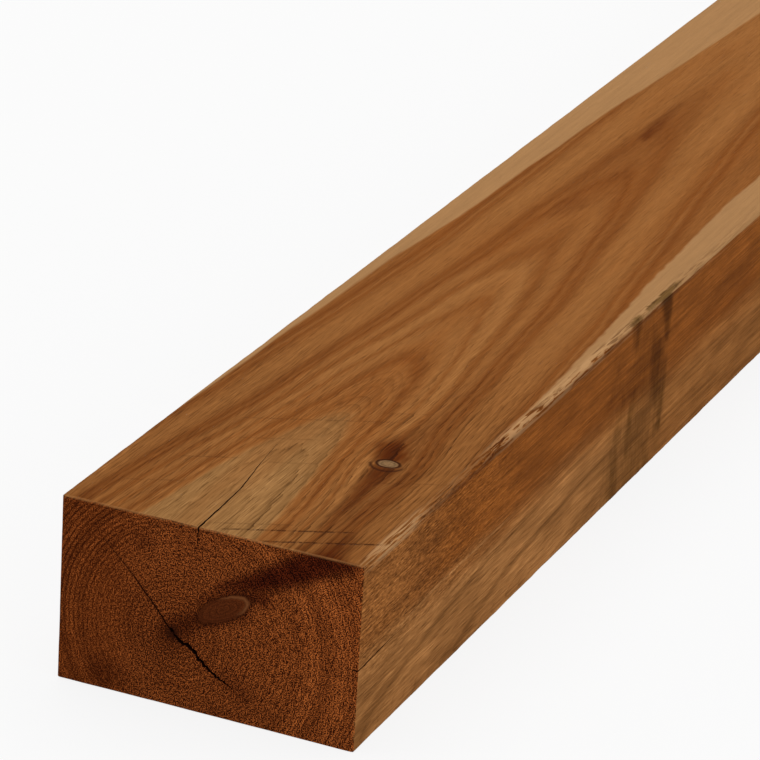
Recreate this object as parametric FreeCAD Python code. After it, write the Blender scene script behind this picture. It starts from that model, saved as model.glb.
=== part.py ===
"""A rough-sawn timber fence post, one piece of wood lying on a broad face.

Millimetres. X runs along the post, from the end with the drying checks (low X)
to the far end, Y across the broad face and Z up. The origin is the middle of
the underside. The post was sawn out of the middle of a small log, so the pith
runs inside it. The wood has shrunk round that pith: a shake crosses the heart
on the end grain, and short checks open from the end on the top face and on one
narrow face. The long edge between those two faces ran close to the bark, so it
is torn and waned. The three other long edges are just worn.
"""
import FreeCAD, Part
import os
from FreeCAD import Vector

# ---------------------------------------------------------------- sizes, mm
post_length = 2400.0
section_width = 125.0      # across the broad face
section_height = 77.0      # across the narrow face
worn_edge = 0.8            # chamfer on the three sound long edges
cut_overshoot = 1.0        # how far every cutting wedge stands out of the wood

# The waned edge: distance from the checked end, loss on the broad face and
# loss on the narrow face.
waned_edge = [
    (0.0, 1.0, 0.9),
    (70.0, 0.9, 0.8),
    (125.0, 2.2, 1.9),
    (165.0, 2.6, 1.6),
    (235.0, 2.6, 1.9),
    (310.0, 1.2, 1.0),
    (420.0, 2.0, 2.2),
    (700.0, 3.2, 3.0),
    (1050.0, 5.0, 4.6),
    (1450.0, 3.4, 3.8),
    (1900.0, 2.0, 1.6),
    (post_length, 1.2, 1.0),
]

# The check on the top face: distance from the end, place across the face
# (positive is away from the waned edge), opening and depth.
top_check = [
    (0.0, 5.2, 0.9, 9.0),
    (40.0, 7.0, 0.7, 6.5),
    (66.0, 10.8, 0.4, 3.5),
    (86.0, 13.2, 0.1, 0.6),
]

# The check on the narrow face: distance from the end, height above the
# underside, opening and depth.
side_check = [
    (0.0, 34.0, 0.6, 6.0),
    (22.0, 34.6, 0.4, 4.0),
    (40.0, 35.8, 0.1, 0.6),
]

# The shakes on the end grain start at the pith and are straight runs: place
# across, height above the underside, opening and depth along the post.
pith_across = 14.3
pith_height = 31.5
upper_shake = [
    (pith_across, pith_height, 1.0, 22.0),
    (23.0, 41.4, 0.7, 16.0),
    (31.7, 51.0, 0.5, 9.0),
    (45.5, 64.0, 0.1, 1.0),
]
lower_shake = [
    (pith_across, pith_height, 1.6, 22.0),
    (5.6, 25.8, 2.4, 20.0),
    (-3.0, 18.0, 1.4, 12.0),
    (-14.0, 13.6, 0.1, 1.0),
]

near_end = -post_length / 2
waned_side = -section_width / 2


# ---------------------------------------------------------------- helpers
def wedge_along(sections):
    """A closed solid that joins triangular sections, each three points."""
    faces = [Part.Face(Part.makePolygon([*sections[0], sections[0][0]]))]
    for before, after in zip(sections, sections[1:]):
        for side in range(3):
            other = (side + 1) % 3
            a, b = before[side], before[other]
            c, d = after[side], after[other]
            faces.append(Part.Face(Part.makePolygon([a, b, c, a])))
            faces.append(Part.Face(Part.makePolygon([b, d, c, b])))
    faces.append(Part.Face(Part.makePolygon([*sections[-1], sections[-1][0]])))
    solid = Part.Solid(Part.Shell(faces))
    if solid.Volume < 0:
        solid.reverse()
    return solid


def crack_section(point, outward, across, opening, depth):
    """The triangle of a crack at one point of its line on a face."""
    spread = across * (opening / 2 * (depth + cut_overshoot) / depth)
    mouth = point + outward * cut_overshoot
    return [mouth - spread, mouth + spread, point - outward * depth]


def crack(points, outward, first_shift=0.0):
    """The wedge of a crack whose line on a face is a row of (point, opening,
    depth). first_shift pushes its first section out along the line."""
    sections = []
    for index, (point, opening, depth) in enumerate(points):
        before = points[max(index - 1, 0)][0]
        after = points[min(index + 1, len(points) - 1)][0]
        along = (after - before).normalize()
        if index == 0:
            point = point - along * first_shift
        across = along.cross(outward).normalize()
        sections.append(crack_section(point, outward, across, opening, depth))
    return wedge_along(sections)


# ---------------------------------------------------------------- the wood
def sawn_section():
    """The sawn log: a plain rectangular bar."""
    corner = Vector(near_end, -section_width / 2, 0)
    return Part.makeBox(post_length, section_width, section_height, corner)


def worn_edges(bar):
    """Chamfers the three sound long edges."""
    def is_sound(edge):
        ends = [vertex.Point for vertex in edge.Vertexes]
        runs_along = abs(ends[0].x - ends[1].x) > post_length / 2
        at_wane = ends[0].y < 0 and ends[0].z > section_height / 2
        return runs_along and not at_wane
    return bar.makeChamfer(worn_edge, [edge for edge in bar.Edges if is_sound(edge)])


def wane():
    """What is missing from the waned edge, a bevel that varies along it."""
    sections = []
    for distance, loss_across, loss_down in waned_edge:
        x = near_end + distance
        if distance == 0.0:
            x = x - cut_overshoot
        if distance == post_length:
            x = x + cut_overshoot
        slope = loss_down / loss_across
        top = section_height + cut_overshoot
        side = waned_side - cut_overshoot
        corner = Vector(x, side, top)
        on_broad = Vector(x, waned_side + loss_across + cut_overshoot / slope, top)
        on_narrow = Vector(x, side, section_height - loss_down - cut_overshoot * slope)
        sections.append([corner, on_broad, on_narrow])
    return wedge_along(sections)


def check_on_top():
    points = [
        (Vector(near_end + distance, across, section_height), opening, depth)
        for distance, across, opening, depth in top_check
    ]
    return crack(points, Vector(0, 0, 1), cut_overshoot)


def check_on_side():
    points = [
        (Vector(near_end + distance, waned_side, height), opening, depth)
        for distance, height, opening, depth in side_check
    ]
    return crack(points, Vector(0, -1, 0), cut_overshoot)


def shake(line):
    points = [
        (Vector(near_end, across, height), opening, depth)
        for across, height, opening, depth in line
    ]
    return crack(points, Vector(-1, 0, 0))


def fence_post():
    post = worn_edges(sawn_section())
    for loss in (wane(), check_on_top(), check_on_side(),
                 shake(upper_shake), shake(lower_shake)):
        post = post.cut(loss)
    return post


# ---------------------------------------------------------------- write it
os.makedirs("parts", exist_ok=True)
post = fence_post()
box = post.BoundBox
print("post: valid", post.isValid(), "solids", len(post.Solids), "faces", len(post.Faces))
print("box mm", round(box.XLength, 3), round(box.YLength, 3), round(box.ZLength, 3))
print("lowest corner", round(box.XMin, 3), round(box.YMin, 3), round(box.ZMin, 3))
print("volume m3", round(post.Volume / 1e9, 6))
post.Solids[0].exportStep("parts/post.step")
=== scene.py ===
# %% [markdown]
# # A rough-sawn timber fence post
# The real object is one piece of hardwood, sawn out of the heart of a small log: 2.4 m long, 125 mm
# wide and 77 mm high. It lies on a broad face. Its end has dried and cracked, one long edge has lost
# some wood where the saw ran close to the bark, and every face shows the growth rings cut at another
# angle. We load the plain solid first, because it says where everything goes.

# %% Load the solid
import math

import bpy
import numpy as np
from mathutils import Matrix, Vector, noise


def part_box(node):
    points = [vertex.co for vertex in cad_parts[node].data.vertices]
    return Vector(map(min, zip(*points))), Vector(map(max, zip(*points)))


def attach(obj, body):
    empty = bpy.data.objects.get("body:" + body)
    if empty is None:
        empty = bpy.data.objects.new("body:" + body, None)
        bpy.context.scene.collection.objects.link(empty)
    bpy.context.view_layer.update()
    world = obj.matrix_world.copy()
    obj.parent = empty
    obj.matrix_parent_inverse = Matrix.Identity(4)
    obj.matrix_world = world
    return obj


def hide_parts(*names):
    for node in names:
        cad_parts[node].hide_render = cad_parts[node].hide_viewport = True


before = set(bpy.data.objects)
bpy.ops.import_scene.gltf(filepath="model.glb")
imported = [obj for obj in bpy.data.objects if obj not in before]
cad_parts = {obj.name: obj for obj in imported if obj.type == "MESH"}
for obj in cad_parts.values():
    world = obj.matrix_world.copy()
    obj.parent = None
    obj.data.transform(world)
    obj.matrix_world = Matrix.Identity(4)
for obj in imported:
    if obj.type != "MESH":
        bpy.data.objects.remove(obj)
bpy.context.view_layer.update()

MM = 0.001
low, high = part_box("post")
length, width, height = [round((high[i] - low[i]) / MM, 3) for i in range(3)]
print("the post measures", length, "x", width, "x", height, "mm")

# %% [markdown]
# ## How the mesh is laid out
# A plain box could carry a picture of wood, but its edges would stay ruler-straight and its cracks
# would be flat lines. A sawn bar could be sculpted by hand instead. We build it in code, as rings of
# points round the section, one ring after another along the length: then the mesh can be fine where
# the eye lands, at the cracked end and along the torn edge, and coarse where the post is plain.
# All sizes here are millimetres: x runs from the cracked end, y across from the middle, z up.


# %% Spacing that changes along a line
def spaced(start, *stretches):
    """Positions from start, through stretches of (end, spacing)."""
    marks = [start]
    for end, gap in stretches:
        steps = max(1, round((end - marks[-1]) / gap))
        marks += list(np.linspace(marks[-1], end, steps + 1)[1:])
    return np.array(marks)


end_wear = 0.7
stations = spaced(end_wear, (150, 1.4), (345, 1.9), (520, 4.5), (length - 40, 16),
                  (length - end_wear, 5))
across_top = spaced(0, (0.14, 0.009), (1, 0.0178))
across_base = spaced(0, (1, 0.042))
up_near_side = spaced(0, (0.72, 0.023), (1, 0.016))
up_far_side = spaced(0, (1, 0.055))
round_section = (across_top, across_base, up_near_side, up_far_side)
print(len(stations), "stations and about", sum(map(len, round_section)), "points round the section")

# %% [markdown]
# ## The worn and torn edges
# Three long edges are sound and only lightly worn. The fourth, on top at the near side, is waned: the
# loss changes all along the post, in steps, because the fibres broke away in splinters. A bevel
# modifier gives one even width, so we state the loss at a few distances and let noise break it up.

# %% Edge losses
# distance, loss on the broad face, loss on the narrow face
WANED_EDGE = [(0, 1.0, 0.9), (70, 0.9, 0.8), (125, 2.2, 1.9), (165, 2.6, 1.6), (235, 2.6, 1.9),
              (310, 1.2, 1.0), (420, 2.0, 2.2), (700, 3.2, 3.0), (1050, 5.0, 4.6), (1450, 3.4, 3.8),
              (1900, 2.0, 1.6), (length, 1.2, 1.0)]
# distance, length, depth of the places where a splinter broke out
CHIPS = [(30, 5, 0.7), (52, 6, 0.6), (107, 6, 1.1), (118, 4, 1.0), (128, 6, 2.6), (151, 4, 0.9),
         (168, 6, 1.3), (190, 3, 0.7), (214, 6, 1.4), (236, 6, 1.2), (246, 4, 1.5), (263, 5, 1.0),
         (282, 8, 1.2), (306, 5, 0.8), (331, 9, 0.9), (372, 7, 0.8), (455, 12, 1.2)]


def ragged(x, size, seed, octaves=3):
    """Noise between about -1 and 1 along the post, whose waves are about size long."""
    return noise.fractal(Vector((x / size, seed, 0.5 * seed)), 0.8, 2.0, octaves)


def edge_loss(x, corner):
    """How far the edge at a corner (0 to 3 from the near-side base, anticlockwise) is worn back."""
    if corner != 3:
        worn = 0.75 + 0.3 * ragged(x, 21, corner + 3)
        return max(0.3, worn), max(0.3, worn - 0.1)
    distance, broad, narrow = zip(*WANED_EDGE)
    splinters = 0.55 * ragged(x, 17, 11) + 0.5 * ragged(x, 4.5, 17)
    share = 1 + 0.6 * splinters
    chip = max(depth * max(0.0, 1 - abs(x - middle) / span) ** 0.5 for middle, span, depth in CHIPS)
    on_top = share * np.interp(x, distance, broad) + 0.7 * chip
    on_side = share * np.interp(x, distance, narrow) + 1.5 * chip
    return max(0.35, on_top), max(0.3, on_side)


print("the waned edge loses", [round(edge_loss(x, 3)[0], 2) for x in (10, 130, 235, 1050)], "mm on top")

# %% [markdown]
# ## One section of the post
# Each section is a closed loop of points: a face, a rounded corner, the next face, and so on.

# %% Section loop
CORNER_STEPS = 6


def section(x):
    """The loop of (y, z) points round the section at x, starting on the base at the near side."""
    y0, y1, z0, z1 = -width / 2, width / 2, 0.0, height
    corners = [(y0, z0), (y1, z0), (y1, z1), (y0, z1)]
    losses = [edge_loss(x, corner) for corner in range(4)]
    loop = []
    faces = [across_base, up_far_side, across_top[::-1], up_near_side[::-1]]
    for side, fractions in enumerate(faces):
        a, b = corners[side], corners[(side + 1) % 4]
        broad = side in (0, 2)
        start = losses[side][0 if broad else 1]
        stop = losses[(side + 1) % 4][0 if broad else 1]
        span = math.dist(a, b)
        run = ((b[0] - a[0]) / span, (b[1] - a[1]) / span)
        marks = fractions if side < 2 else 1 - fractions
        for f in marks:
            d = start + f * (span - start - stop)
            loop.append((a[0] + run[0] * d, a[1] + run[1] * d))
        into = (-run[1], run[0])
        far = losses[(side + 1) % 4][1 if broad else 0]
        for step in range(1, CORNER_STEPS):
            t = 0.5 * math.pi * step / CORNER_STEPS
            back, up = stop * (1 - math.sin(t)), far * (1 - math.cos(t))
            loop.append((b[0] - run[0] * back + into[0] * up, b[1] - run[1] * back + into[1] * up))
    return np.array(loop)


print("one section has", len(section(0)), "points")

# %% [markdown]
# ## Skinning the sections
# The loops are joined into long strips. At each end the loop shrinks towards the pith, the centre of
# the tree, so the mesh of the end grain follows the rings as the wood itself does. A saw leaves no
# truly flat face, so every point moves a little into the wood: never out of it, because the solid's
# own box is the most the post may fill.

# %% Skin
PITH = (14.3, 31.0)


def sawn_relief(x, loop):
    """How far in, in mm, the saw cut at each point of a section."""
    tilt = 0.5
    depths = []
    for y, z in loop:
        waves = 0.5 + 0.5 * noise.noise(Vector((x / 70, y / 16, z / 16)))
        ripple = 0.5 + 0.5 * noise.noise(Vector(((x + tilt * y) / 5.5, y / 60, z / 60 + 9)))
        fibres = 0.5 + 0.5 * noise.noise(Vector((x / 9, y / 2.4, z / 2.4 + 30)))
        depths.append(0.16 * waves + 0.12 * ripple + 0.12 * fibres)
    return np.array(depths)


def inwards(loop):
    """Unit directions that point into the wood from each point of a loop."""
    along = np.roll(loop, -1, 0) - np.roll(loop, 1, 0)
    along /= np.linalg.norm(along, axis=1)[:, None]
    return np.stack([-along[:, 1], along[:, 0]], 1)


def end_relief(y, z, seed):
    """How deep, in mm, the end is torn at a point: sawing across the fibres leaves pits."""
    pits = 0.5 + 0.5 * noise.noise(Vector((seed, y / 1.9, z / 1.9)))
    dips = 0.5 + 0.5 * noise.noise(Vector((seed + 5, y / 11, z / 11)))
    return 0.28 * pits + 0.22 * dips


points, loops = [], []


def add_loop(xs, loop):
    loops.append(range(len(points), len(points) + len(loop)))
    points.extend(zip(xs, loop[:, 0], loop[:, 1]))


def add_end(x_end, into, seed, shares):
    """Loops that close an end, from its edge to the pith, or the other way for the far end."""
    rim = section(x_end + into * end_wear)
    pith = np.array(PITH)
    spokes = rim - pith
    inner = pith + spokes * (1 - end_wear / np.linalg.norm(spokes, axis=1))[:, None]
    for share in shares:
        loop = pith + share * (inner - pith)
        torn = np.array([end_relief(y, z, seed) for y, z in loop])
        add_loop(x_end + into * torn, loop)


near_shares = spaced(0.02, (0.1, 0.02), (1, 0.027))
far_shares = spaced(0.04, (1, 0.06))
add_end(0.0, 1, 2.0, near_shares)
for x in stations:
    loop = section(x)
    add_loop(np.full(len(loop), x), loop + sawn_relief(x, loop)[:, None] * inwards(loop))
add_end(length, -1, 8.0, far_shares[::-1])

faces = []
for first, second in zip(loops, loops[1:]):
    count = len(first)
    for i in range(count):
        j = (i + 1) % count
        faces.append((first[i], first[j], second[j], second[i]))
faces.append(tuple(reversed(loops[0])))
faces.append(tuple(loops[-1]))

skin = bpy.data.meshes.new("post_wood")
skin.from_pydata([((x - length / 2) * MM, y * MM, z * MM) for x, y, z in points], [], faces)
skin.validate()
wood_piece = bpy.data.objects.new("post_wood", skin)
bpy.context.scene.collection.objects.link(wood_piece)
print("the skin has", len(skin.vertices), "points and", 2 * len(skin.polygons), "triangles")

# %% [markdown]
# ## Drying cracks
# As the end dries, it shrinks round the ring and splits along the rays: one check runs down the top
# face, a small one down the narrow face, and two shakes open at the pith. A dark line in the material
# would look painted from close by. We cut real wedges out of the mesh with a Boolean, and shake their
# points a little, because wood tears along its fibres and not along a ruler.

# %% Crack cutters
# distance, across or up, opening, depth
TOP_CHECK = [(0, 5.2, 0.8, 9.0), (20, 6.0, 0.6, 8.0), (40, 7.0, 0.45, 6.5), (55, 9.2, 0.35, 5.0),
             (66, 10.8, 0.24, 3.5), (86, 13.2, 0.1, 0.6)]
SIDE_CHECK = [(0, 34.0, 0.7, 6.0), (22, 34.6, 0.45, 4.0), (40, 35.8, 0.1, 0.6)]
# across, up, opening, depth
UPPER_SHAKE = [(14.3, 31, 0.7, 20.0), (23, 41.4, 0.42, 16.0), (31.7, 51, 0.26, 9.0), (45.5, 64, 0.08, 1.0)]
LOWER_SHAKE = [(15.5, 32.5, 0.7, 14.0), (11, 28.8, 1.5, 20.0), (5.6, 25.8, 1.7, 20.0),
               (1.3, 21.4, 1.4, 16.0), (-3, 18, 1.1, 12.0), (-9, 15.3, 0.6, 5.0), (-14, 13.6, 0.1, 1.0)]
crack_random = np.random.default_rng(7)


def wedge(name, line, across, outward, step=2.2, shake=0.12):
    """A closed wedge along a line of (point, opening, depth), with its edge torn by noise."""
    across, outward = Vector(across).normalized(), Vector(outward)
    corners = []
    for (a, wide, deep), (b, wide_b, deep_b) in zip(line, line[1:]):
        pieces = max(1, round((Vector(b) - Vector(a)).length / step))
        for i in range(pieces + (b == line[-1][0])):
            t = i / pieces
            centre = Vector(a).lerp(Vector(b), t) + across * crack_random.uniform(-shake, shake)
            opening = (wide + t * (wide_b - wide)) * crack_random.uniform(0.75, 1.25)
            depth = deep + t * (deep_b - deep)
            lift = 2.0
            half = 0.5 * opening * (depth + lift) / depth
            corners += [centre + across * half + outward * lift, centre - across * half + outward * lift,
                        centre - outward * depth]
    sides = []
    for i in range(0, len(corners) - 3, 3):
        for j in range(3):
            k = (j + 1) % 3
            sides.append((i + j, i + k, i + 3 + k, i + 3 + j))
    last = len(corners)
    sides += [(2, 1, 0), (last - 3, last - 2, last - 1)]
    mesh = bpy.data.meshes.new(name)
    mesh.from_pydata([((p.x - length / 2) * MM, p.y * MM, p.z * MM) for p in corners], [], sides)
    cutter = bpy.data.objects.new(name, mesh)
    bpy.context.scene.collection.objects.link(cutter)
    spots = [[Vector(corners[i]) for i in f[:3]] for f in sides]
    volume = sum(first.dot(second.cross(third)) for first, second, third in spots)
    if volume < 0:
        mesh.flip_normals()
    return cutter


def start_before(line, gap=3.0):
    """The same line with one more point in front of the end face, so that the cut opens on it."""
    (x, y, z), opening, depth = line[0]
    return [((x - gap, y, z), opening, depth)] + line


top_line = start_before([((x, y, height), w, d) for x, y, w, d in TOP_CHECK])
side_line = start_before([((x, -width / 2, z), w, d) for x, z, w, d in SIDE_CHECK])
upper_line = [((0, y, z), w, d) for y, z, w, d in UPPER_SHAKE]
lower_line = [((0, y, z), w, d) for y, z, w, d in LOWER_SHAKE]
cutters = [wedge("top_check", top_line, (0, 1, 0), (0, 0, 1)),
           wedge("side_check", side_line, (0, 0, 1), (0, -1, 0)),
           wedge("upper_shake", upper_line, (0, -33, 31.2), (-1, 0, 0), 1.6, 0.1),
           wedge("lower_shake", lower_line, (0, -18.9, 29.5), (-1, 0, 0), 1.0, 0.55)]
for cutter in cutters:
    cut = wood_piece.modifiers.new(cutter.name, "BOOLEAN")
    cut.operation = "DIFFERENCE"
    cut.solver = "MANIFOLD"
    cut.object = cutter
cut_skin = bpy.data.meshes.new_from_object(wood_piece.evaluated_get(bpy.context.evaluated_depsgraph_get()))
wood_piece.modifiers.clear()
wood_piece.data = cut_skin
cut_skin.name = "post_wood"
mended = cut_skin.validate(verbose=False)
bpy.data.meshes.remove(skin)
for cutter in cutters:
    bpy.data.meshes.remove(cutter.data)
cut_skin.shade_smooth()
cut_skin.set_sharp_from_angle(angle=math.radians(38))
print("after cutting the cracks there are", len(cut_skin.polygons), "faces; some needed mending:", mended)

# %% [markdown]
# ## A map for pictures of the wood
# Nothing in this shader needs a UV map, but a game or a web page will want the wood as pictures. An
# automatic unwrap lays a bar of this shape out as four thin ribbons and wastes most of the picture. We
# fold the ribbons instead: the first 600 mm get their own rows at a large scale, the rest of the post
# a smaller one, and the walls of the cracks, which are dark all over, a small corner of their own.

# %% Picture map
PICTURE = 1024.0
NEAR_LENGTH, NEAR_SCALE, FAR_SCALE, END_SCALE = 600.0, 1.62, 0.55, 1.1
GUTTER = 4.5
RIM = 6.0


def face_map():
    """For every face of the mesh, which strip of the picture it belongs to, and where its corners land."""
    count = len(cut_skin.polygons)
    centre, normal = np.zeros(count * 3), np.zeros(count * 3)
    cut_skin.polygons.foreach_get("center", centre)
    cut_skin.polygons.foreach_get("normal", normal)
    centre, normal = centre.reshape(-1, 3) / MM, normal.reshape(-1, 3)
    centre[:, 0] += length / 2
    starts, totals = np.zeros(count, int), np.zeros(count, int)
    cut_skin.polygons.foreach_get("loop_start", starts)
    cut_skin.polygons.foreach_get("loop_total", totals)
    corner = np.zeros(len(cut_skin.loops), int)
    cut_skin.loops.foreach_get("vertex_index", corner)
    places = np.zeros(len(cut_skin.vertices) * 3)
    cut_skin.vertices.foreach_get("co", places)
    places = places.reshape(-1, 3)[corner] / MM
    places[:, 0] += length / 2
    owner = np.repeat(np.arange(count), totals)
    assert (np.diff(starts) == totals[:-1]).all()
    return centre, normal, places, owner


centre, normal, places, owner = face_map()
leaning_most = np.abs(normal)
leaning_most[np.abs(centre[:, 0] - length / 2) < length / 2 - RIM, 0] = 0
axis = leaning_most.argmax(1)
ahead = np.where(axis == 0, centre[:, 0] > length / 2, normal[np.arange(len(axis)), axis] > 0)
limits = np.array([[0, length], [-width / 2, width / 2], [0, height]])
own_plane = limits[axis, ahead.astype(int)]
in_crack = np.abs(centre[np.arange(len(axis)), axis] - own_plane) > RIM
print(int(in_crack.sum()), "faces are walls of cracks")

# %% [markdown]
# ## Strips of the map
# A face that looks along one axis is laid flat by dropping that axis. Each long face becomes two
# strips, a large one for the near part and a small one for the rest, stacked up the picture with a gap
# between them, and the two ends stand side by side on top.

# %% Strips
picture_u, picture_v = np.zeros(len(places)), np.zeros(len(places))
row = GUTTER


def lay(mask, across, start, scale, left, bottom):
    """Put the chosen faces into a strip: across is 1 or 2 for y or z, start the x at its left end."""
    chosen = mask[owner]
    picture_u[chosen] = left + (places[chosen, 0] - start) * scale
    picture_v[chosen] = bottom + (places[chosen, across] - limits[across, 0]) * scale


near_part = centre[:, 0] < NEAR_LENGTH
for part, scale, start in ((near_part, NEAR_SCALE, 0.0), (~near_part, FAR_SCALE, NEAR_LENGTH - 16.0)):
    for side in (1, 2):
        across = 3 - side
        for front in (False, True):
            lay(part & (axis == side) & (ahead == front) & ~in_crack, across, start, scale, GUTTER, row)
            row += (limits[across, 1] - limits[across, 0]) * scale + GUTTER
for front, left in ((False, GUTTER), (True, GUTTER * 2 + width * END_SCALE)):
    chosen = ((axis == 0) & (ahead == front) & ~in_crack)[owner]
    picture_u[chosen] = left + (places[chosen, 1] + width / 2) * END_SCALE
    picture_v[chosen] = row + places[chosen, 2] * END_SCALE
print("the strips reach", round(row), "and the ends stand on them")

# %% [markdown]
# ## Walls of the cracks on the map
# The walls face each other, so each side of a crack gets a patch of its own beside the ends.

# %% Crack walls on the map
left = GUTTER * 3 + 2 * width * END_SCALE
in_top_check = in_crack & (centre[:, 2] > height - 10) & (axis == 1)
in_side_check = in_crack & (centre[:, 1] < 8 - width / 2) & ~in_top_check
in_shake = in_crack & ~in_top_check & ~in_side_check
upper = centre[:, 1] > PITH[0]
walls = [(in_top_check & ahead, 0, 2), (in_top_check & ~ahead, 0, 2), (in_side_check & ahead, 0, 1),
         (in_side_check & ~ahead, 0, 1)]
faces_up = normal[:, 2] > 0
for part in (upper, ~upper):
    walls += [(in_shake & part & faces_up, 1, 0), (in_shake & part & ~faces_up, 1, 0)]
for mask, along, deep in walls:
    chosen = mask[owner]
    if chosen.any():
        u, v = places[chosen, along], places[chosen, deep]
        picture_u[chosen] = left + (u - u.min())
        picture_v[chosen] = row + (v - v.min())
        left += np.ptp(u) + GUTTER
picture_map = cut_skin.uv_layers.new(name="OFBake")
picture_map.uv.foreach_set("vector", np.stack([picture_u, picture_v], 1).ravel() / PICTURE)
print("the map fills", round(float(picture_u.max())), "x", round(float(picture_v.max())), "of", PICTURE)

# %% [markdown]
# ## Painting stains on the mesh
# Some marks have no rule behind them: the dark heart round the knots, and the runs that wet iron and
# tannin left down the near side, with a painted shadow line along its torn top edge. We paint those as
# strokes, each a line of points with a reach and a strength, and store the result as one number per mesh
# point. Vertex paint in the viewport does the same by hand; strokes in code can be read and changed. The
# shader will break up their soft edges.

# %% Painted masks
RESIN_ON_TOP = [
    [(98, -30, 11, 0.95), (106, -27, 10, 0.9), (115, -25, 7, 0.5), (126, -24, 5, 0.1)],
    [(12, -38, 5, 0.35), (35, -36, 7, 0.5), (62, -34, 7, 0.6), (84, -33, 8, 0.8)],
    [(100, -33, 7, 0.6), (135, -30, 4, 0.35), (185, -28, 3, 0.25), (240, -24, 3, 0.1)],
    [(30, -44, 5, 0.3), (70, -42, 5, 0.35), (120, -40, 4, 0.2)],
    [(0, -48, 9, 0.95), (9, -48, 8, 0.7), (24, -47, 6, 0.35), (40, -45, 5, 0.1)],
    [(0, -36, 5, 0.6), (12, -37, 4, 0.3)],
    [(0, 55, 6, 0.45), (22, 54, 5, 0.25), (60, 52, 5, 0.1)],
    [(500, 18, 5, 0.6), (530, 20, 5, 0.55), (570, 22, 4, 0.2)],
    [(380, 14, 8, 0.35), (400, 13, 9, 0.45), (412, 12, 7, 0.2)],
]
RESIN_ON_END = [
    [(-4, 54, 4, 0.6), (-20, 60, 7, 0.9), (-29, 65, 8, 0.95), (-38, 70, 9, 1)],
    [(-38, 70, 9, 1), (-46, 75, 9.5, 1), (-55, 78, 9, 0.9)],
    [(14, 31, 9, 0.65), (6, 38, 7, 0.55), (-3, 40, 5, 0.6), (-16, 46, 5, 0.5)],
    [(-22, 54, 6, 0.7), (-10, 54, 5, 0.65), (3, 47, 4, 0.5)],
    [(27, 66, 7, 0.45), (22, 62, 5, 0.2)], [(44, 8, 10, 0.5), (34, 8, 7, 0.3)],
    [(-10, 17, 8, 0.4), (-17, 11, 6, 0.45)], [(-28, 3, 8, 0.3), (-34, 2, 5, 0.1)],
    [(50, 14, 9, 0.25), (56, 30, 8, 0.1)], [(16, 24, 9, 0.35), (28, 26, 9, 0.2)],
]
RUNS_AND_LIP_SHADOW_ON_SIDE = [
    [(317, 78, 9, 0.95), (320, 69, 7.5, 0.95), (321.5, 56, 4, 0.6)],
    # painted shadow: this thin stroke along the top edge is the shade under the torn lip, not a run
    [(296, 76.9, 1.2, 0.6), (310, 76.9, 1.5, 0.85), (324, 76.8, 1.5, 0.85), (336, 76.5, 1.2, 0.4)],
    [(283, 78, 9, 0.75), (284, 68, 7, 0.6), (284, 56, 4, 0.25)],
    [(304, 64, 10, 0.4), (310, 48, 14, 0.7), (315, 32, 12, 0.65), (319, 22, 8, 0.45)],
    [(322, 44, 5, 0.45), (321, 30, 5, 0.6), (320, 15, 4.5, 0.75), (312, 17, 2.5, 0.3)],
    [(285, 44, 5, 0.5), (282, 32, 6, 0.7), (281, 16, 5, 0.55)],
    [(271, 44, 8, 0.4), (265, 22, 9, 0.5), (267, 0, 9, 0.6)],
    [(302, 15, 5, 0.4), (306, 0, 8, 0.6)], [(263, 62, 4, 0.3), (256, 46, 4, 0.25)],
    [(294, 66, 22, 0.32), (290, 30, 32, 0.42), (292, 0, 32, 0.46)],
    [(314, 66, 12, 0.3), (316, 0, 12, 0.3)], [(264, 70, 12, 0.16), (260, 0, 14, 0.3)],
]


def brushed(a, b, strokes):
    """How strongly the strokes cover each point (a, b): 1 on a stroke's line, 0 past its reach."""
    cover = np.zeros(len(a))
    for stroke in strokes:
        for (a0, b0, reach0, full0), (a1, b1, reach1, full1) in zip(stroke, stroke[1:]):
            long = (a1 - a0) ** 2 + (b1 - b0) ** 2
            t = np.clip(((a - a0) * (a1 - a0) + (b - b0) * (b1 - b0)) / long, 0, 1)
            away = np.hypot(a - a0 - t * (a1 - a0), b - b0 - t * (b1 - b0))
            away = away / (reach0 + t * (reach1 - reach0))
            inside = np.clip(1 - away, 0, 1)
            cover = np.maximum(cover, (full0 + t * (full1 - full0)) * inside * (2 - inside))
    return cover


def store(mesh, name, values):
    mesh.attributes.new(name, "FLOAT", "POINT").data.foreach_set("value", values.astype(np.float32))
    print(name, "covers", round(100 * float((values > 0.05).mean()), 1), "% of the points")


spots = np.zeros(len(cut_skin.vertices) * 3)
cut_skin.vertices.foreach_get("co", spots)
px, py, pz = spots.reshape(-1, 3).T / MM
px = px + length / 2
on_top, on_end, on_side = pz > height - 3, px < 1.5, py < 2.4 - width / 2
store(cut_skin, "resin", np.where(on_end, brushed(py, pz, RESIN_ON_END),
                                  np.where(on_top, brushed(px, py, RESIN_ON_TOP), 0)))
store(cut_skin, "runs", np.where(on_side, brushed(px, pz, RUNS_AND_LIP_SHADOW_ON_SIDE), 0))

# %% [markdown]
# ## Shader maths as plain Python
# The wood needs a lot of arithmetic on positions. Wiring hundreds of Math nodes by hand hides the idea,
# so one small class wraps an output socket, and +, -, *, / and ** on it add the Math nodes. Every
# other kind of node comes from its one method, node.


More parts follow.
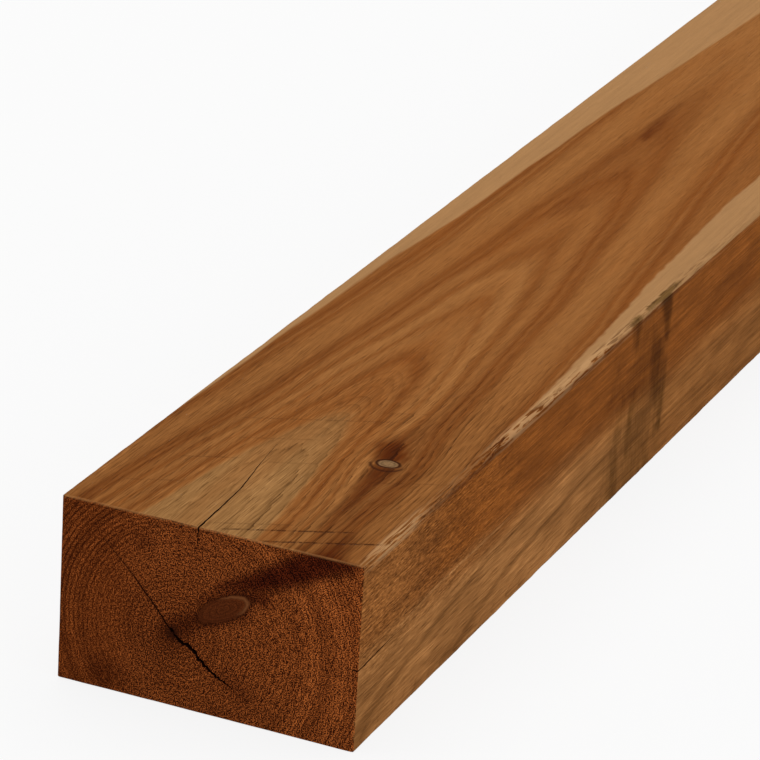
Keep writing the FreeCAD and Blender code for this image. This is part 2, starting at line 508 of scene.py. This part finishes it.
# %% Fields
class Field:
    """One output socket of a shader. Python's operators on it add Math nodes."""

    tree = None

    def __init__(self, socket):
        self.socket = socket

    @staticmethod
    def node(kind, settings, sockets, output=0):
        """Add a node: its settings are set first, then a value or a link for each socket named."""
        made = Field.tree.nodes.new("ShaderNode" + kind)
        for name, value in settings.items():
            if name == "stops":
                elements = made.color_ramp.elements
                for position, _ in value[2:]:
                    elements.new(position)
                for element, (position, colour) in zip(elements, value):
                    element.position = position
                    element.color = colour
            elif name == "spread":
                made.color_ramp.interpolation = value
            else:
                setattr(made, name, value)
        for name, value in sockets.items():
            if isinstance(value, Field):
                Field.tree.links.new(value.socket, made.inputs[name])
            else:
                made.inputs[name].default_value = value
        return Field(made.outputs[output]) if made.outputs else None

    def maths(self, operation, *others):
        return Field.node("Math", {"operation": operation}, dict(enumerate((self,) + others)))

    def __add__(self, other):
        return self.maths("ADD", other)

    __radd__ = __add__

    def __sub__(self, other):
        return self.maths("SUBTRACT", other)

    def __rsub__(self, other):
        return Field.node("Math", {"operation": "SUBTRACT"}, {0: other, 1: self})

    def __mul__(self, other):
        return self.maths("MULTIPLY", other)

    __rmul__ = __mul__

    def __truediv__(self, other):
        return self.maths("DIVIDE", other)

    def __pow__(self, other):
        return self.maths("POWER", other)


def empty_tree(owner):
    """Turn on an owner's nodes, clear them, and let Field.node add to them."""
    owner.use_nodes = True
    owner.node_tree.nodes.clear()
    Field.tree = owner.node_tree


wood = bpy.data.materials.new("sawn_hardwood")
empty_tree(wood)
print("an expression such as 1 - mask is now a Math node in", wood.name)

# %% [markdown]
# ## Where on the post are we?
# Object coordinates stay with the mesh. We turn them into the millimetres used above. The true normal
# tells the cut faces apart: end grain where it points along the post, the near side where it points
# across.

# %% Positions in millimetres
place = Field.node("TexCoord", {}, {}, "Object")
metres = [Field.node("SeparateXYZ", {}, {0: place}, axis) for axis in "XYZ"]
x, y, z = metres[0] / MM + length / 2, metres[1] / MM, metres[2] / MM
facing = Field.node("NewGeometry", {}, {}, "True Normal")
normal_x, normal_y, normal_z = [Field.node("SeparateXYZ", {}, {0: facing}, axis) for axis in "XYZ"]


def step_up(value, start, stop):
    """0 below start, 1 above stop, and a smooth rise between."""
    return Field.node("MapRange", {"interpolation_type": "SMOOTHSTEP"}, {0: value, 1: start, 2: stop})


def near(value, middle, reach):
    """1 at middle, and a smooth fall to 0 at reach from it."""
    return 1 - step_up((value - middle).maths("ABSOLUTE"), 0, reach)


def curve(value, points, spread="CARDINAL"):
    """A smooth curve through (value, result) points, as a grey ramp."""
    first, last = points[0][0], points[-1][0]
    lowest, highest = min(r for _, r in points), max(r for _, r in points)
    greys = [(r - lowest) / (highest - lowest) for _, r in points]
    stops = [((v - first) / (last - first), [grey] * 3 + [1]) for (v, _), grey in zip(points, greys)]
    ramp = Field.node("ValToRGB", {"stops": stops, "spread": spread}, {0: (value - first) / (last - first)})
    return ramp * (highest - lowest) + lowest


def grain(size_x, size_across, seed=0.0, detail=2.0, roughness=0.5, v=None):
    """Noise from 0 to 1 whose blobs are size_x long and size_across wide."""
    across = (y if v is None else v) / size_across + seed
    spot = Field.node("CombineXYZ", {}, {0: x / size_x, 1: across, 2: z / size_across})
    look = {"Vector": spot, "Scale": 1.0, "Detail": detail, "Roughness": roughness}
    return Field.node("TexNoise", {}, look)


is_end = step_up(normal_x.maths("ABSOLUTE"), 0.55, 0.75)
is_near_side = step_up(0 - normal_y, 0.55, 0.75)
is_top = step_up(normal_z, 0.45, 0.7)
print("positions run from x = 0 to", length)

# %% [markdown]
# ## The tree's rings
# Every line on the post comes from the same thing: a ring is a tube round the pith, and a saw cut
# shows where its plane meets the tubes. So we work out one number per point, the ring it lies in, and
# let all the faces read it. The tree leaned, which sets the rings off centre, and it tapered, which
# closes the lines on the top face into nested arches that point to the far end. The Wave texture
# makes rings too, but knows nothing of taper, lean or knots.

# %% Ring number
LEAN = 0.15
KNOT = (90.5, -32.0)
BEND, BEND_AT = 6.1, 222.0
SWELL, SWELL_AT, SWELL_REACH = 0.47, 217.0, 450.0
SKEW = 0.047


def bend(d):
    """Where the pith lies across the post at d: it swings to the near side and back, as a parabola."""
    return PITH[0] - BEND + BEND * (d / BEND_AT - 1) ** 2


def swell(d):
    """How much wider than at the cracked end the rings' numbers run at d: a long sine wave."""
    return 1 + SWELL * (math.sin((d - SWELL_AT) / SWELL_REACH) + math.sin(SWELL_AT / SWELL_REACH))


pith_y = curve(x, [(d, bend(d)) for d in (0, 100, 225, 350, 500)]
               + [(700, 24), (1050, 10), (1500, 2), (2000, 9), (length, 13)])
taper = curve(x, [(d, swell(d)) for d in range(0, 601, 100)]
              + [(720, 1.63), (1000, 1.52), (1400, 1.30), (1900, 1.16), (length, 1.3)])
knot_pull = 0.0 - ((x - KNOT[0]) / 34) ** 2.0 - ((y - KNOT[1]) / 15) ** 2.0
knot_pull = knot_pull.maths("EXPONENT") * step_up(z, 50, 74)
bent_y = y - knot_pull * 0.62 * (y - KNOT[1])
out_y, out_z = bent_y - pith_y, z - PITH[1]
round_pith = out_y * out_y + out_z * out_z
leaning = (round_pith * (1 - LEAN**2) + (out_y * LEAN) ** 2.0).maths("SQRT")
ring = (leaning + out_y * LEAN) / (1 - LEAN**2) * taper
ring = ring - SKEW * bent_y * (x / 500).maths("MINIMUM", 1.5)
side_arcs = (((330 - x).maths("MAXIMUM", 0.0) / 9) ** 2.0 + z * z).maths("SQRT")
ring = ring + is_near_side * (73.5 + 0.36 * side_arcs - ring)
ring_plain = ring
wander = 2.2 * (grain(150, 20, 3.0, 1.0) - 0.5) + 0.9 * (grain(38, 5.5, 7.0, 1.0) - 0.5)
feather = 1.0 * (grain(9, 1.1, 11.0, 2.0) - 0.5)
ring = ring + (1 - is_end) * wander + (1 - 0.6 * is_end) * feather
print("the rings lean by", LEAN, "and bend round the knot at", KNOT)

# %% [markdown]
# ## Colours of the years
# Good and bad years differ: some rings are broad and tan, others narrow, dark and red. A Color Ramp
# over the ring number holds this diary: one dark and one pale colour, and a note of how pale each year
# is. Writing the colours as screen values keeps them easy to judge by eye; the shader wants linear
# light, so a helper converts them.


# %% Year colours
def paint(red, green, blue):
    """A screen colour, 0 to 255, as the linear colour a shader works in."""
    linear = [((c / 255 + 0.055) / 1.055) ** 2.4 if c > 10 else c / 255 / 12.92 for c in (red, green, blue)]
    return (*linear, 1.0)


def mix(share, first, second, blend="MIX"):
    """A colour between two, or one multiplied by the other."""
    settings = {"data_type": "RGBA", "blend_type": blend}
    return Field.node("Mix", settings, {0: share, 6: first, 7: second}, 2)


def dim(colour, red, green=None, blue=None):
    """A colour times a shade: one number for all three channels, or one for each."""
    channels = {0: red, 1: red if green is None else green, 2: red if blue is None else blue}
    return mix(1.0, colour, Field.node("CombineColor", {}, channels), "MULTIPLY")


DARK_YEAR, PALE_YEAR, FIRST_YEARS = (122, 68, 26), (152, 99, 51), (147, 104, 59)
# ring number, and how pale that year is, out of 10
YEARS = [(51.9, 9), (52.5, 4), (53.2, 7), (53.9, 6), (54.4, 0), (55.2, 5), (56.7, 9), (57.4, 7), (57.9, 3),
         (58.5, 9), (60.2, 10), (60.9, 6), (61.8, 2), (62.6, 6), (64.2, 8), (66.4, 0), (67.2, 4), (68.8, 1),
         (70.2, 5), (72, 8), (76.5, 9), (80, 8), (83, 5), (84.6, 1), (86, 6), (88.5, 0), (92, 5)]
first_year, last_year = 48, YEARS[-1][0]


def year_colour(pale):
    return [dark + pale / 10 * (light - dark) for dark, light in zip(DARK_YEAR, PALE_YEAR)]


years = [(first_year, FIRST_YEARS), (51.2, FIRST_YEARS)] + [(r, year_colour(pale)) for r, pale in YEARS]
stops = [((r - first_year) / (last_year - first_year), paint(*colour)) for r, colour in years]
heartwood = Field.node("ValToRGB", {"stops": stops, "spread": "LINEAR"},
                       {0: (ring - first_year) / (last_year - first_year)})
print(len(YEARS), "notes in the diary of the years")

# %% [markdown]
# ## Fine lines and fibres
# Inside the broad bands lie the single years, a dark line each, stronger in some years than others. A
# random number per ring sets how strong. Over all of it run the fibres, which are only tenths of a
# millimetre wide and very long, so their noise is stretched along the post.

# %% Fine lines and fibres
RING_WIDTH = 1.9
count = (ring / RING_WIDTH).maths("FLOOR")
through = (ring / RING_WIDTH).maths("FRACT")
vigour = Field.node("TexWhiteNoise", {"noise_dimensions": "1D"}, {"W": count})
near_end = 1 - step_up(x, 110, 260)
near_right = near_end * step_up(0 - y, 0, 10) * is_top
broken = 0.25 + 0.75 * step_up(grain(24, 1.6, 23.0, 1.0, 0.5, bent_y), 0.36, 0.60)
late_wood = (through ** (5.0 - 2.2 * near_right)) * (0.35 + 0.65 * vigour) * broken
arch_ring = (ring_plain + 0.10 * (grain(30, 5, 35.0, 1.0) - 0.5)) / 0.42
arch_vigour = Field.node("TexWhiteNoise", {"noise_dimensions": "1D"}, {"W": arch_ring.maths("FLOOR")})
arches = (arch_ring.maths("FRACT") ** 3.0) * (0.3 + 0.7 * arch_vigour)
arches = arches * near(x, 138, 62) * near(y, 6, 30) * is_top
broad_band = Field.node("TexNoise", {"noise_dimensions": "1D"},
                        {"W": ring / 3.1, "Scale": 1.0, "Detail": 1.0})
fibre = grain(16, 0.55, 5.0, 2.0, 0.7, bent_y)
soft_fibre = grain(60, 2.0, 15.0, 1.0, 0.5, bent_y)
patch = grain(120, 17, 31.0, 1.0)
pores = 1 - step_up(grain(10, 0.6, 71.0, 0.0, 0.5, bent_y), 0.26, 0.44)
flecks = step_up(grain(9, 0.65, 77.0, 0.0, 0.5, bent_y), 0.58, 0.76)
fuzz = grain(4.2, 0.8, 81.0, 2.0, 0.8)
rough_side = is_near_side * step_up(z, 18, 46) * (0.15 + 0.85 * (1 - step_up(x, 60, 180)))
flank = near_end * step_up((y - 3).maths("ABSOLUTE"), 20, 36) * is_top
print("the single years are", RING_WIDTH, "mm wide")

# %% [markdown]
# ## Lines on the near side
# The narrow side was sawn nearly along the rings, so they run down it as long flat arcs. A few are bold
# or pale, the rest are hairs, and soft clouds lie over them where the saw met softer wood.

# %% Near side
ARC_WIDTH, HAIR_WIDTH = 3.4, 1.45
bent_arcs = side_arcs + 2.4 * (grain(45, 8, 25.0, 1.0) - 0.5)
arc_count = (bent_arcs / ARC_WIDTH).maths("FLOOR")
arc_vigour = Field.node("TexWhiteNoise", {"noise_dimensions": "1D"}, {"W": arc_count + 3})
side_line = ((bent_arcs / ARC_WIDTH).maths("FRACT") ** 3.0) * arc_vigour * (0.25 + 0.75 * broken)
side_hairs = ((bent_arcs / HAIR_WIDTH).maths("FRACT") ** 5.0) * broken
bold_arcs = near(bent_arcs, 25.5, 1.3).maths("MAXIMUM", near(bent_arcs, 36.0, 1.4) * 0.8)
bold_arcs = bold_arcs * (1 - step_up(x, 230, 300))
pale_arcs = near(bent_arcs, 23.4, 1.2).maths("MAXIMUM", near(bent_arcs, 38.4, 1.4))
pale_arcs = pale_arcs * (1 - step_up(x, 230, 300))
clouds = grain(46, 13, 27.0, 1.0)
small_clouds = grain(15, 5, 29.0, 1.0)
side_shade = (1 - 0.26 * side_line - 0.24 * bold_arcs - 0.22 * side_hairs) * (1.02 + 0.18 * pale_arcs)
side_shade = side_shade * (0.56 + 0.76 * clouds) * (0.74 + 0.46 * small_clouds)
print("arcs", ARC_WIDTH, "mm apart, with hairs every", HAIR_WIDTH, "mm between them")

# %% [markdown]
# ## Shade and tone of the long faces
# Every line so far only darkens or lightens, so they all multiply into one shade. The tone under it is
# the colour of the years, reddened in patches, and on the near side a red upper part over a paler
# lower one. The shade bites deepest in blue, as it does in real wood, which keeps dark lines warm.

# %% Shade and tone
shade = 1 - (0.18 + 0.28 * near_end + 0.38 * near_right) * late_wood * (1 - is_near_side)
shade = shade * (1 - 0.5 * arches)
shade = shade * (1 + is_near_side * (side_shade - 1))
shade = shade * (0.92 + 0.16 * broad_band)
shade = shade * (1 + (0.56 + 0.46 * near_end) * (fibre - 0.5))
shade = shade * (0.86 + 0.28 * soft_fibre)
shade = shade * (1 - (0.10 + 0.15 * near_end) * pores) * (1 + (0.05 + 0.12 * near_end) * flecks)
side_streaks = grain(34, 1.0, 83.0, 1.0, 0.6)
shade = shade * (1 + is_near_side * (0.75 * (side_streaks - 0.5) - 0.02))
shade = shade * (1 + 3.2 * rough_side * (fuzz - 0.5)) * (1 - 0.16 * flank)
shade = shade * (1.06 + 0.04 * near_end + 0.03 * near_right)
reddened = mix(step_up(patch, 0.45, 0.75) * 0.3, heartwood, paint(136, 76, 28))
side_red = step_up(z + 16 * (grain(90, 9, 61.0, 2.0) - 0.5), 28, 47)
side_red = side_red * (1 - 0.35 * (1 - step_up(x, 30, 100)))
low_tone = mix(step_up(x, 230, 330), paint(170, 117, 66), paint(158, 104, 54))
side_tone = mix(side_red, low_tone, paint(139, 78, 27))
pale_line = near(z, 39.0 - 4.0 * step_up(90 - x, 0, 90), 1.1)
pale_line = pale_line * step_up(x, 20, 60) * (1 - step_up(x, 130, 160))
side_tone = mix(pale_line * 0.6, side_tone, paint(196, 140, 84))
two_tone = mix(0.78 * is_near_side, reddened, side_tone)
flat_grain = dim(two_tone, shade, shade**1.12, shade**1.3)
print("the long faces take", len(wood.node_tree.nodes), "nodes so far")

# %% [markdown]
# ## Sapwood
# The outermost, youngest wood is pale. It shows as a strip along both top edges, where the post came
# close to the bark, and not at all at the cracked end. Each strip is a corner cut off by a slanting
# plane whose place follows a curve along the post.

# %% Sapwood
far_edge = curve(x, [(0, 68), (100, 62), (200, 58.6), (300, 55.5), (355, 51.5), (450, 48.8), (500, 47.3),
                     (550, 45), (640, 39), (760, 35), (1100, 38), (1500, 44), (2000, 50), (length, 47)])
near_edge = curve(x, [(0, 61), (60, 62), (105, 64), (140, 59), (190, 56.5), (235, 53.6), (300, 50.6),
                      (380, 47), (500, 45), (900, 47), (1400, 54), (2000, 51), (length, 56)])
border = 1.6 * (grain(30, 3.0, 41.0, 2.0) - 0.5) + 2.4 * (grain(150, 12, 45.0, 1.0) - 0.5)
far_strip = step_up(y - far_edge + 0.7 * (z - height) + border, -0.7, 1.0)
near_strip = step_up(0 - y - near_edge + 7.0 * (z - height) + border, -0.7, 1.0)
sapwood = far_strip.maths("MAXIMUM", near_strip)
sap_shade = 0.75 + 0.28 * fibre + 0.22 * soft_fibre
sap_colour = dim(paint(170, 126, 81), sap_shade)
long_grain = mix(sapwood, flat_grain, sap_colour)
lip = step_up(0 - y, 57.6, 60.4) * step_up(z, height - 5.0, height - 2.6)
splinters = curve(x, [(0, 0.3), (22, 1), (48, 0.8), (62, 0.25), (100, 0.15), (122, 0.35), (146, 0.9),
                      (230, 0.8), (300, 0.45), (345, 0.3), (430, 0.15), (length, 0.1)], "LINEAR")
# how strongly painted shade fills the hollows of the torn edge, along the post
hollow_shade = curve(x, [(0, 0.2), (50, 0.2), (72, 0.55), (104, 0.8), (130, 1), (152, 0.4), (215, 0.7),
                    (250, 0.7), (300, 0.5), (335, 0.7), (390, 0.2), (length, 0.1)], "LINEAR")
torn = grain(20, 1.0, 51.0, 2.0, 0.6)
pale_fibres = lip * step_up(torn + 0.1 * splinters, 0.5, 0.62) * splinters
long_grain = mix(pale_fibres * 0.85, long_grain, paint(198, 152, 104))
# painted shade in the hollows between the splinters of the torn edge
long_grain = mix(lip * (1 - step_up(torn, 0.37, 0.47)) * hollow_shade * 0.7, long_grain, paint(68, 28, 10))
# painted shadow: a dark line on the near side just under the torn lip
painted_lip_shadow = near(z, height - 2.9, 1.5) * is_near_side * (1 - step_up(x, 335, 380))
painted_lip_shadow = painted_lip_shadow * step_up(torn, 0.38, 0.52)
long_grain = mix(painted_lip_shadow * hollow_shade * 0.85, long_grain, paint(64, 28, 10))

# %% [markdown]
# ## Knots
# A knot is a branch cut across. One comes out of the top face: a small pale oval in a dark ring of
# bark. Another was sliced along its length by the end cut, so it shows as a long grey-brown oval that
# climbs to the near side. Both are ellipses: a distance that is 1 on the rim, broken by a little noise.

# %% Knots
wobble = 0.22 * (grain(3.2, 3.2, 91.0, 1.0) - 0.5)


def oval(a, b, half_long, half_wide, turn=0.0):
    """Distance from an oval's middle, 1 on its rim, from two offsets in mm and a turn in degrees."""
    c, s = math.cos(math.radians(turn)), math.sin(math.radians(turn))
    along, aside = (a * c + b * s) / half_long, (b * c - a * s) / half_wide
    return (along * along + aside * aside).maths("SQRT") + wobble


top_knot = oval(x - KNOT[0], y - KNOT[1], 3.4, 4.5)
second_rim = oval(x - KNOT[0] + 1.6, y - KNOT[1], 5.6, 6.4)
end_knot = oval(-6.5 - y, z - 45.7, 12.6, 4.7, 31)
knot_heart = (1 - step_up(top_knot, 0.78, 0.98)) * is_top
knot_bark = near(top_knot, 1.02, 0.3) * is_top
knot_crescent = near(second_rim, 1.0, 0.2) * step_up(KNOT[0] - x, -1, 3) * is_top

# %% [markdown]
# ## Stains and saw marks
# The painted strokes now darken the wood, their edges roughened by noise. The saw left a few straight
# scores across the grain, all at one slant, strongest close to the end.

# %% Stains and saw marks
resin = Field.node("Attribute", {"attribute_name": "resin"}, {}, "Fac")
runs = Field.node("Attribute", {"attribute_name": "runs"}, {}, "Fac")
resin_edge = step_up(resin + 0.5 * (grain(14, 1.5, 101.0, 2.0) - 0.5) * step_up(resin, 0, 0.3), 0.05, 0.95)
colour = mix(resin_edge, long_grain, dim(long_grain, 0.42, 0.25, 0.10))
colour = mix(knot_crescent * 0.8, colour, paint(52, 22, 7))
colour = mix(knot_bark * 0.95, colour, paint(50, 24, 9))
knot_grain = (0.5 + 0.66 * grain(1.5, 0.9, 95.0, 1.0)) * (1 - 0.35 * near(top_knot, 0.62, 0.2))
colour = mix(knot_heart, colour, dim(paint(150, 114, 76), knot_grain))
run_noise = grain(3.0, 9, 107.0, 2.0, 0.6) - 0.5
# the runs darken the wood, and so does the painted shadow line under the torn edge
runs_and_shadow_edge = step_up(runs + 0.55 * run_noise * step_up(runs, 0, 0.25), 0.0, 0.85)
colour = mix(runs_and_shadow_edge, colour, dim(colour, 0.40, 0.38, 0.27))
SLANT = 0.5
SCORES = [(2.2, 0.85, -46, -3), (-9, 0.85, -60, -20), (8, 0.3, -25, 2), (50, 0.25, 30, 48),
          (54, 0.22, -60, -33), (72, 0.2, -10, 10), (76, 0.3, 20, 40), (120, 0.25, -22, 36),
          (130, 0.2, -27, -12), (98, 0.2, 0, 30)]
across_cut = x + SLANT * y
dashes = 0.3 + 0.7 * step_up(grain(2, 1.6, 113.0, 1.0), 0.40, 0.54)
scores = 0.0 * x
for place_x, depth, start, stop in SCORES:
    reach = step_up(y, start - 3, start + 3) * (1 - step_up(y, stop - 3, stop + 3))
    scores = scores.maths("MAXIMUM", near(across_cut, place_x, 1.25) * reach * depth)
scores = scores * dashes * is_top
colour = mix(scores, colour, paint(52, 22, 6))
print(len(SCORES), "saw marks, all slanted by", SLANT)

# %% [markdown]
# ## End grain
# Across the fibres the wood looks like a bundle of cut straws: darker, because light falls into it,
# and speckled by the saw. The rings are fine lines, clearest in the corner and towards the near side.

# %% End grain
def straws(seed, size, detail=1.0):
    """Noise over the end face with blobs of one size in mm."""
    spot = Field.node("CombineXYZ", {}, {0: seed, 1: y / size, 2: z / size})
    return Field.node("TexNoise", {}, {"Vector": spot, "Scale": 1.0, "Detail": detail, "Roughness": 0.6})


def round_the_pith(across, turns, seed):
    """Noise over the end face stretched round the pith: across in mm, turns blobs to a radian."""
    spot = Field.node("CombineXYZ", {}, {0: angle * turns, 1: from_pith / across, 2: seed})
    return Field.node("TexNoise", {}, {"Vector": spot, "Scale": 1.0, "Detail": 1.0})


angle = Field.node("Math", {"operation": "ARCTAN2"}, {0: z - PITH[1], 1: y - PITH[0]})
from_pith = ((y - PITH[0]) ** 2.0 + (z - PITH[1]) ** 2.0).maths("SQRT")
speckle = straws(5.0, 0.48, 1.0)
ring_speckle = round_the_pith(0.8, 17, 3.0)
mottle = grain(40, 13, 121.0, 1.0)
good_years = Field.node("TexNoise", {"noise_dimensions": "1D"},
                        {"W": ring / 5.5 + 4.3, "Scale": 1.0, "Detail": 1.0})
rays = round_the_pith(7, 16, 9.0)
END_RING = 2.3
end_line = (1 - 2 * ((ring / END_RING).maths("FRACT") - 0.5).maths("ABSOLUTE")) ** 2.0
corner = step_up(y + 0.6 * z, 62, 88)
far_part = step_up(y, 20, 44)
core = 1 - step_up(from_pith, 14, 26)
clear = 0.18 + 0.06 * step_up(0 - y, 8, 30) + 0.34 * corner + 0.16 * far_part + 0.26 * core
crisp = 1.0 - 0.35 * far_part
grains = 0.5 + crisp * (6.0 * (speckle - 0.5) + 1.7 * (ring_speckle - 0.5))
end_colour = mix(step_up(grains, 0.05, 1.3), paint(47, 11, 2), paint(208, 125, 64))
end_colour = mix(far_part * 0.22, end_colour, paint(134, 66, 16))
end_shade = (1 - clear * end_line) * (0.76 + 0.40 * mottle) * (0.86 + 0.28 * rays)
end_shade = end_shade * (0.72 + 0.56 * good_years)
end_shade = end_shade * (1.0 + 0.20 * step_up(0 - y, 15, 45)) * (1 - 0.12 * core)
end_colour = dim(end_colour, 0.83 * end_shade, 0.66 * end_shade**1.15, 0.54 * end_shade**1.25)
at_far_end = step_up(x, 500, 600)
end_knot = end_knot + 9 * at_far_end
in_knot = 1 - step_up(end_knot, 0.9, 1.02)
knot_rings = (0.62 + 0.5 * (end_knot * 4).maths("FRACT")) * (0.6 + 0.8 * speckle)
end_colour = mix(resin_edge, end_colour, dim(end_colour, 0.26, 0.15, 0.16))
end_colour = mix(in_knot * 0.9, end_colour, dim(paint(91, 42, 17), knot_rings))
end_colour = mix(near(end_knot, 1.02, 0.2) * 0.6, end_colour, paint(44, 14, 3))
# painted highlight: the upper ridge of the knot on the end is made paler
knot_ridge_highlight = near(end_knot, 0.86, 0.16) * step_up(z - 0.6 * y, 50, 58)
end_colour = mix(knot_ridge_highlight * 0.6, end_colour, paint(142, 88, 50))
# painted shade: a dark line along the upper shake on the end, darker than the cut crack shows by itself
shake_z = curve(y, [(a, b) for a, b, _, _ in UPPER_SHAKE] + [(52, 69)], "LINEAR")
painted_shake_shade = near(z - shake_z, 0.0, 1.0) * step_up(y, 13, 16) * (1 - step_up(y, 26, 51))
painted_shake_shade = painted_shake_shade * (1 - at_far_end)
end_colour = mix(painted_shake_shade * 0.85, end_colour, paint(36, 7, 2))
pith_mark = (1 - step_up(from_pith, 1.5, 4.5)) * 0.7
end_colour = mix(pith_mark, end_colour, paint(46, 18, 6))
end_colour = mix(sapwood * at_far_end, end_colour, dim(end_colour, 1.7, 2.2, 3.0))
colour = mix(is_end, colour, end_colour)
# painted highlight: a pale line along the arris between the end and the top, where the edge catches light
arris_highlight = near(z, height - 0.2, 1.0) * (1 - step_up(x, 0.7, 1.6)) * step_up(mottle, 0.25, 0.5)
colour = mix(arris_highlight * 0.4, colour, paint(172, 120, 72))
print("single years are", END_RING, "mm wide on the end")

# %% [markdown]
# ## Inside the cracks
# The walls of a crack get almost no light, so that shade is painted into their colour: nearly black on
# the walls and wherever a point lies more than about a millimetre inside the bar. How far a point lies
# inside the bar tells them apart from the outer faces.

# %% Crack walls
inside = Field.node("Math", {"operation": "MINIMUM"}, {0: x, 1: length - x})
for gap in (z, height - z, y + width / 2, width / 2 - y):
    inside = inside.maths("MINIMUM", gap)
# painted shade: a dark line along the top check, which darkens the crack and carries it on where it closes
check_y = curve(x, [(d, across) for d, across, _, _ in TOP_CHECK], "LINEAR")
painted_check_shade = near(y - check_y, 0.0, 0.55) * (1 - step_up(x, 35, 92)) * is_top
colour = mix(painted_check_shade * 0.75, colour, paint(46, 20, 7))
at_waned_edge = step_up(0 - y, 52, 55) * step_up(z, 66, 69)
buried = inside - 2.6 * at_waned_edge
wall = step_up(normal_y.maths("ABSOLUTE"), 0.5, 0.7) * (1 - step_up(y.maths("ABSOLUTE"), 54, 57))
lying = step_up(normal_z.maths("ABSOLUTE"), 0.5, 0.7)
lying = lying * step_up(z, 4, 6) * (1 - step_up(z, height - 8, height - 6))
wall = wall.maths("MAXIMUM", lying) * (1 - step_up(x, 100, 110))
# painted shade of the cracks: their walls, and points buried in the bar
dark = wall.maths("MAXIMUM", step_up(buried, 0.6, 1.3))
colour = mix(dark, colour, paint(38, 14, 6))

# %% [markdown]
# ## Relief and the finished shader
# Fibres, pores, saw marks and speckle also have a height. They are too fine for the mesh, so a Bump node
# turns the height, in millimetres, into tilted normals. Dry sawn wood has no polish: it is very rough.

# %% Finished shader
long_relief = 0.08 * fibre + 0.05 * soft_fibre - 0.08 * pores - 0.25 * scores + 0.6 * rough_side * fuzz
long_relief = long_relief + 0.5 * lip * torn - 0.2 * near(top_knot, 1.0, 0.3) * is_top
end_relief_map = 0.22 * speckle + 0.08 * ring_speckle - 0.05 * end_line
relief_height = long_relief + is_end * (end_relief_map - long_relief)
bump = Field.node("Bump", {}, {"Height": relief_height, "Distance": MM, "Strength": 1.0})
skin_shader = Field.node("BsdfPrincipled", {}, {"Base Color": colour, "Roughness": 0.9, "Normal": bump,
                                                "Specular IOR Level": 0.03})
Field.node("OutputMaterial", {}, {"Surface": skin_shader})
cut_skin.materials.clear()
cut_skin.materials.append(wood)
print("the wood's shader has", len(wood.node_tree.nodes), "nodes")

# %% [markdown]
# ## Light and floor
# Wood is judged by its colour, so the light is a plain soft studio: an even pale sky and wide softboxes,
# strong enough in all that a colour renders about as it is written. The floor is white paper. Only the
# camera sees it brightened, which keeps the object's shadow and adds no light to the wood.


# %% Studio
def seen_directly():
    """1 where the camera, a reflection or a see-through surface looks, and 0 for light itself."""
    seen = [Field.node("LightPath", {}, {}, name) for name in
            ("Is Camera Ray", "Is Glossy Ray", "Is Transmission Ray")]
    return seen[0].maths("MAXIMUM", seen[1]).maths("MAXIMUM", seen[2])


SKY = 0.5
world = bpy.data.worlds.new("studio")
bpy.context.scene.world = world
empty_tree(world)
strength = SKY + (1 - SKY) * seen_directly()
backdrop = Field.node("Background", {}, {"Color": (1, 1, 1, 1), "Strength": strength})
Field.node("OutputWorld", {}, {"Surface": backdrop})


def softbox(name, place, aim, size, watts):
    """A square area light at a place in metres, turned to its aim."""
    light = bpy.data.lights.new(name, "AREA")
    light.shape = "RECTANGLE"
    light.size, light.size_y = size
    light.energy = watts
    lamp = bpy.data.objects.new(name, light)
    bpy.context.scene.collection.objects.link(lamp)
    lamp.location = place
    lamp.rotation_euler = (Vector(aim) - Vector(place)).to_track_quat("-Z", "Y").to_euler()
    return lamp


softbox("overhead_softbox", (0, 0.5, 3.0), (0, 0, 0), (5, 3), 62)
softbox("side_softbox", (-0.2, -3.4, 1.6), (0, 0, 0), (4, 2), 28)

paper = bpy.data.materials.new("white_paper")
empty_tree(paper)
matt = Field.node("BsdfDiffuse", {}, {"Color": (0.8, 0.8, 0.8, 1)})
bright = Field.node("Emission", {}, {"Color": (1, 1, 1, 1), "Strength": 1.0})
shown = Field.node("MixShader", {}, {0: 0.85 * seen_directly(), 1: matt, 2: bright})
Field.node("OutputMaterial", {}, {"Surface": shown})

bpy.ops.mesh.primitive_plane_add(size=60)
floor = bpy.context.object
floor.name = "floor"
floor.data.materials.append(paper)
print("floor", tuple(round(v, 2) for v in floor.dimensions))

# %% [markdown]
# ## Camera
# A long lens from above the cracked end shows three faces at once and keeps the far end from
# shrinking too fast.

# %% Camera
AZIMUTH, LOOK_DOWN, ROLL = 22.71, 22.685, 3.428
lens = bpy.data.cameras.new("camera")
lens.lens = 206.7
lens.sensor_width = 36
lens.clip_start = 0.05
camera = bpy.data.objects.new("camera", lens)
bpy.context.scene.collection.objects.link(camera)
camera.matrix_world = (
    Matrix.Translation((-2.5356, -0.6233, 0.757))
    @ Matrix.Rotation(math.radians(AZIMUTH - 90), 4, "Z")
    @ Matrix.Rotation(math.radians(90 - LOOK_DOWN), 4, "X")
    @ Matrix.Rotation(math.radians(ROLL), 4, "Z")
)
bpy.context.scene.camera = camera
bpy.context.scene.view_settings.view_transform = "Standard"
away = (camera.location - Vector((-1.2, 0, 0.04))).length
print("the camera is", round(away, 2), "m from the cracked end")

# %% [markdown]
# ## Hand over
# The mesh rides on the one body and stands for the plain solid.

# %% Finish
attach(wood_piece, "root")
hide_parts("post")
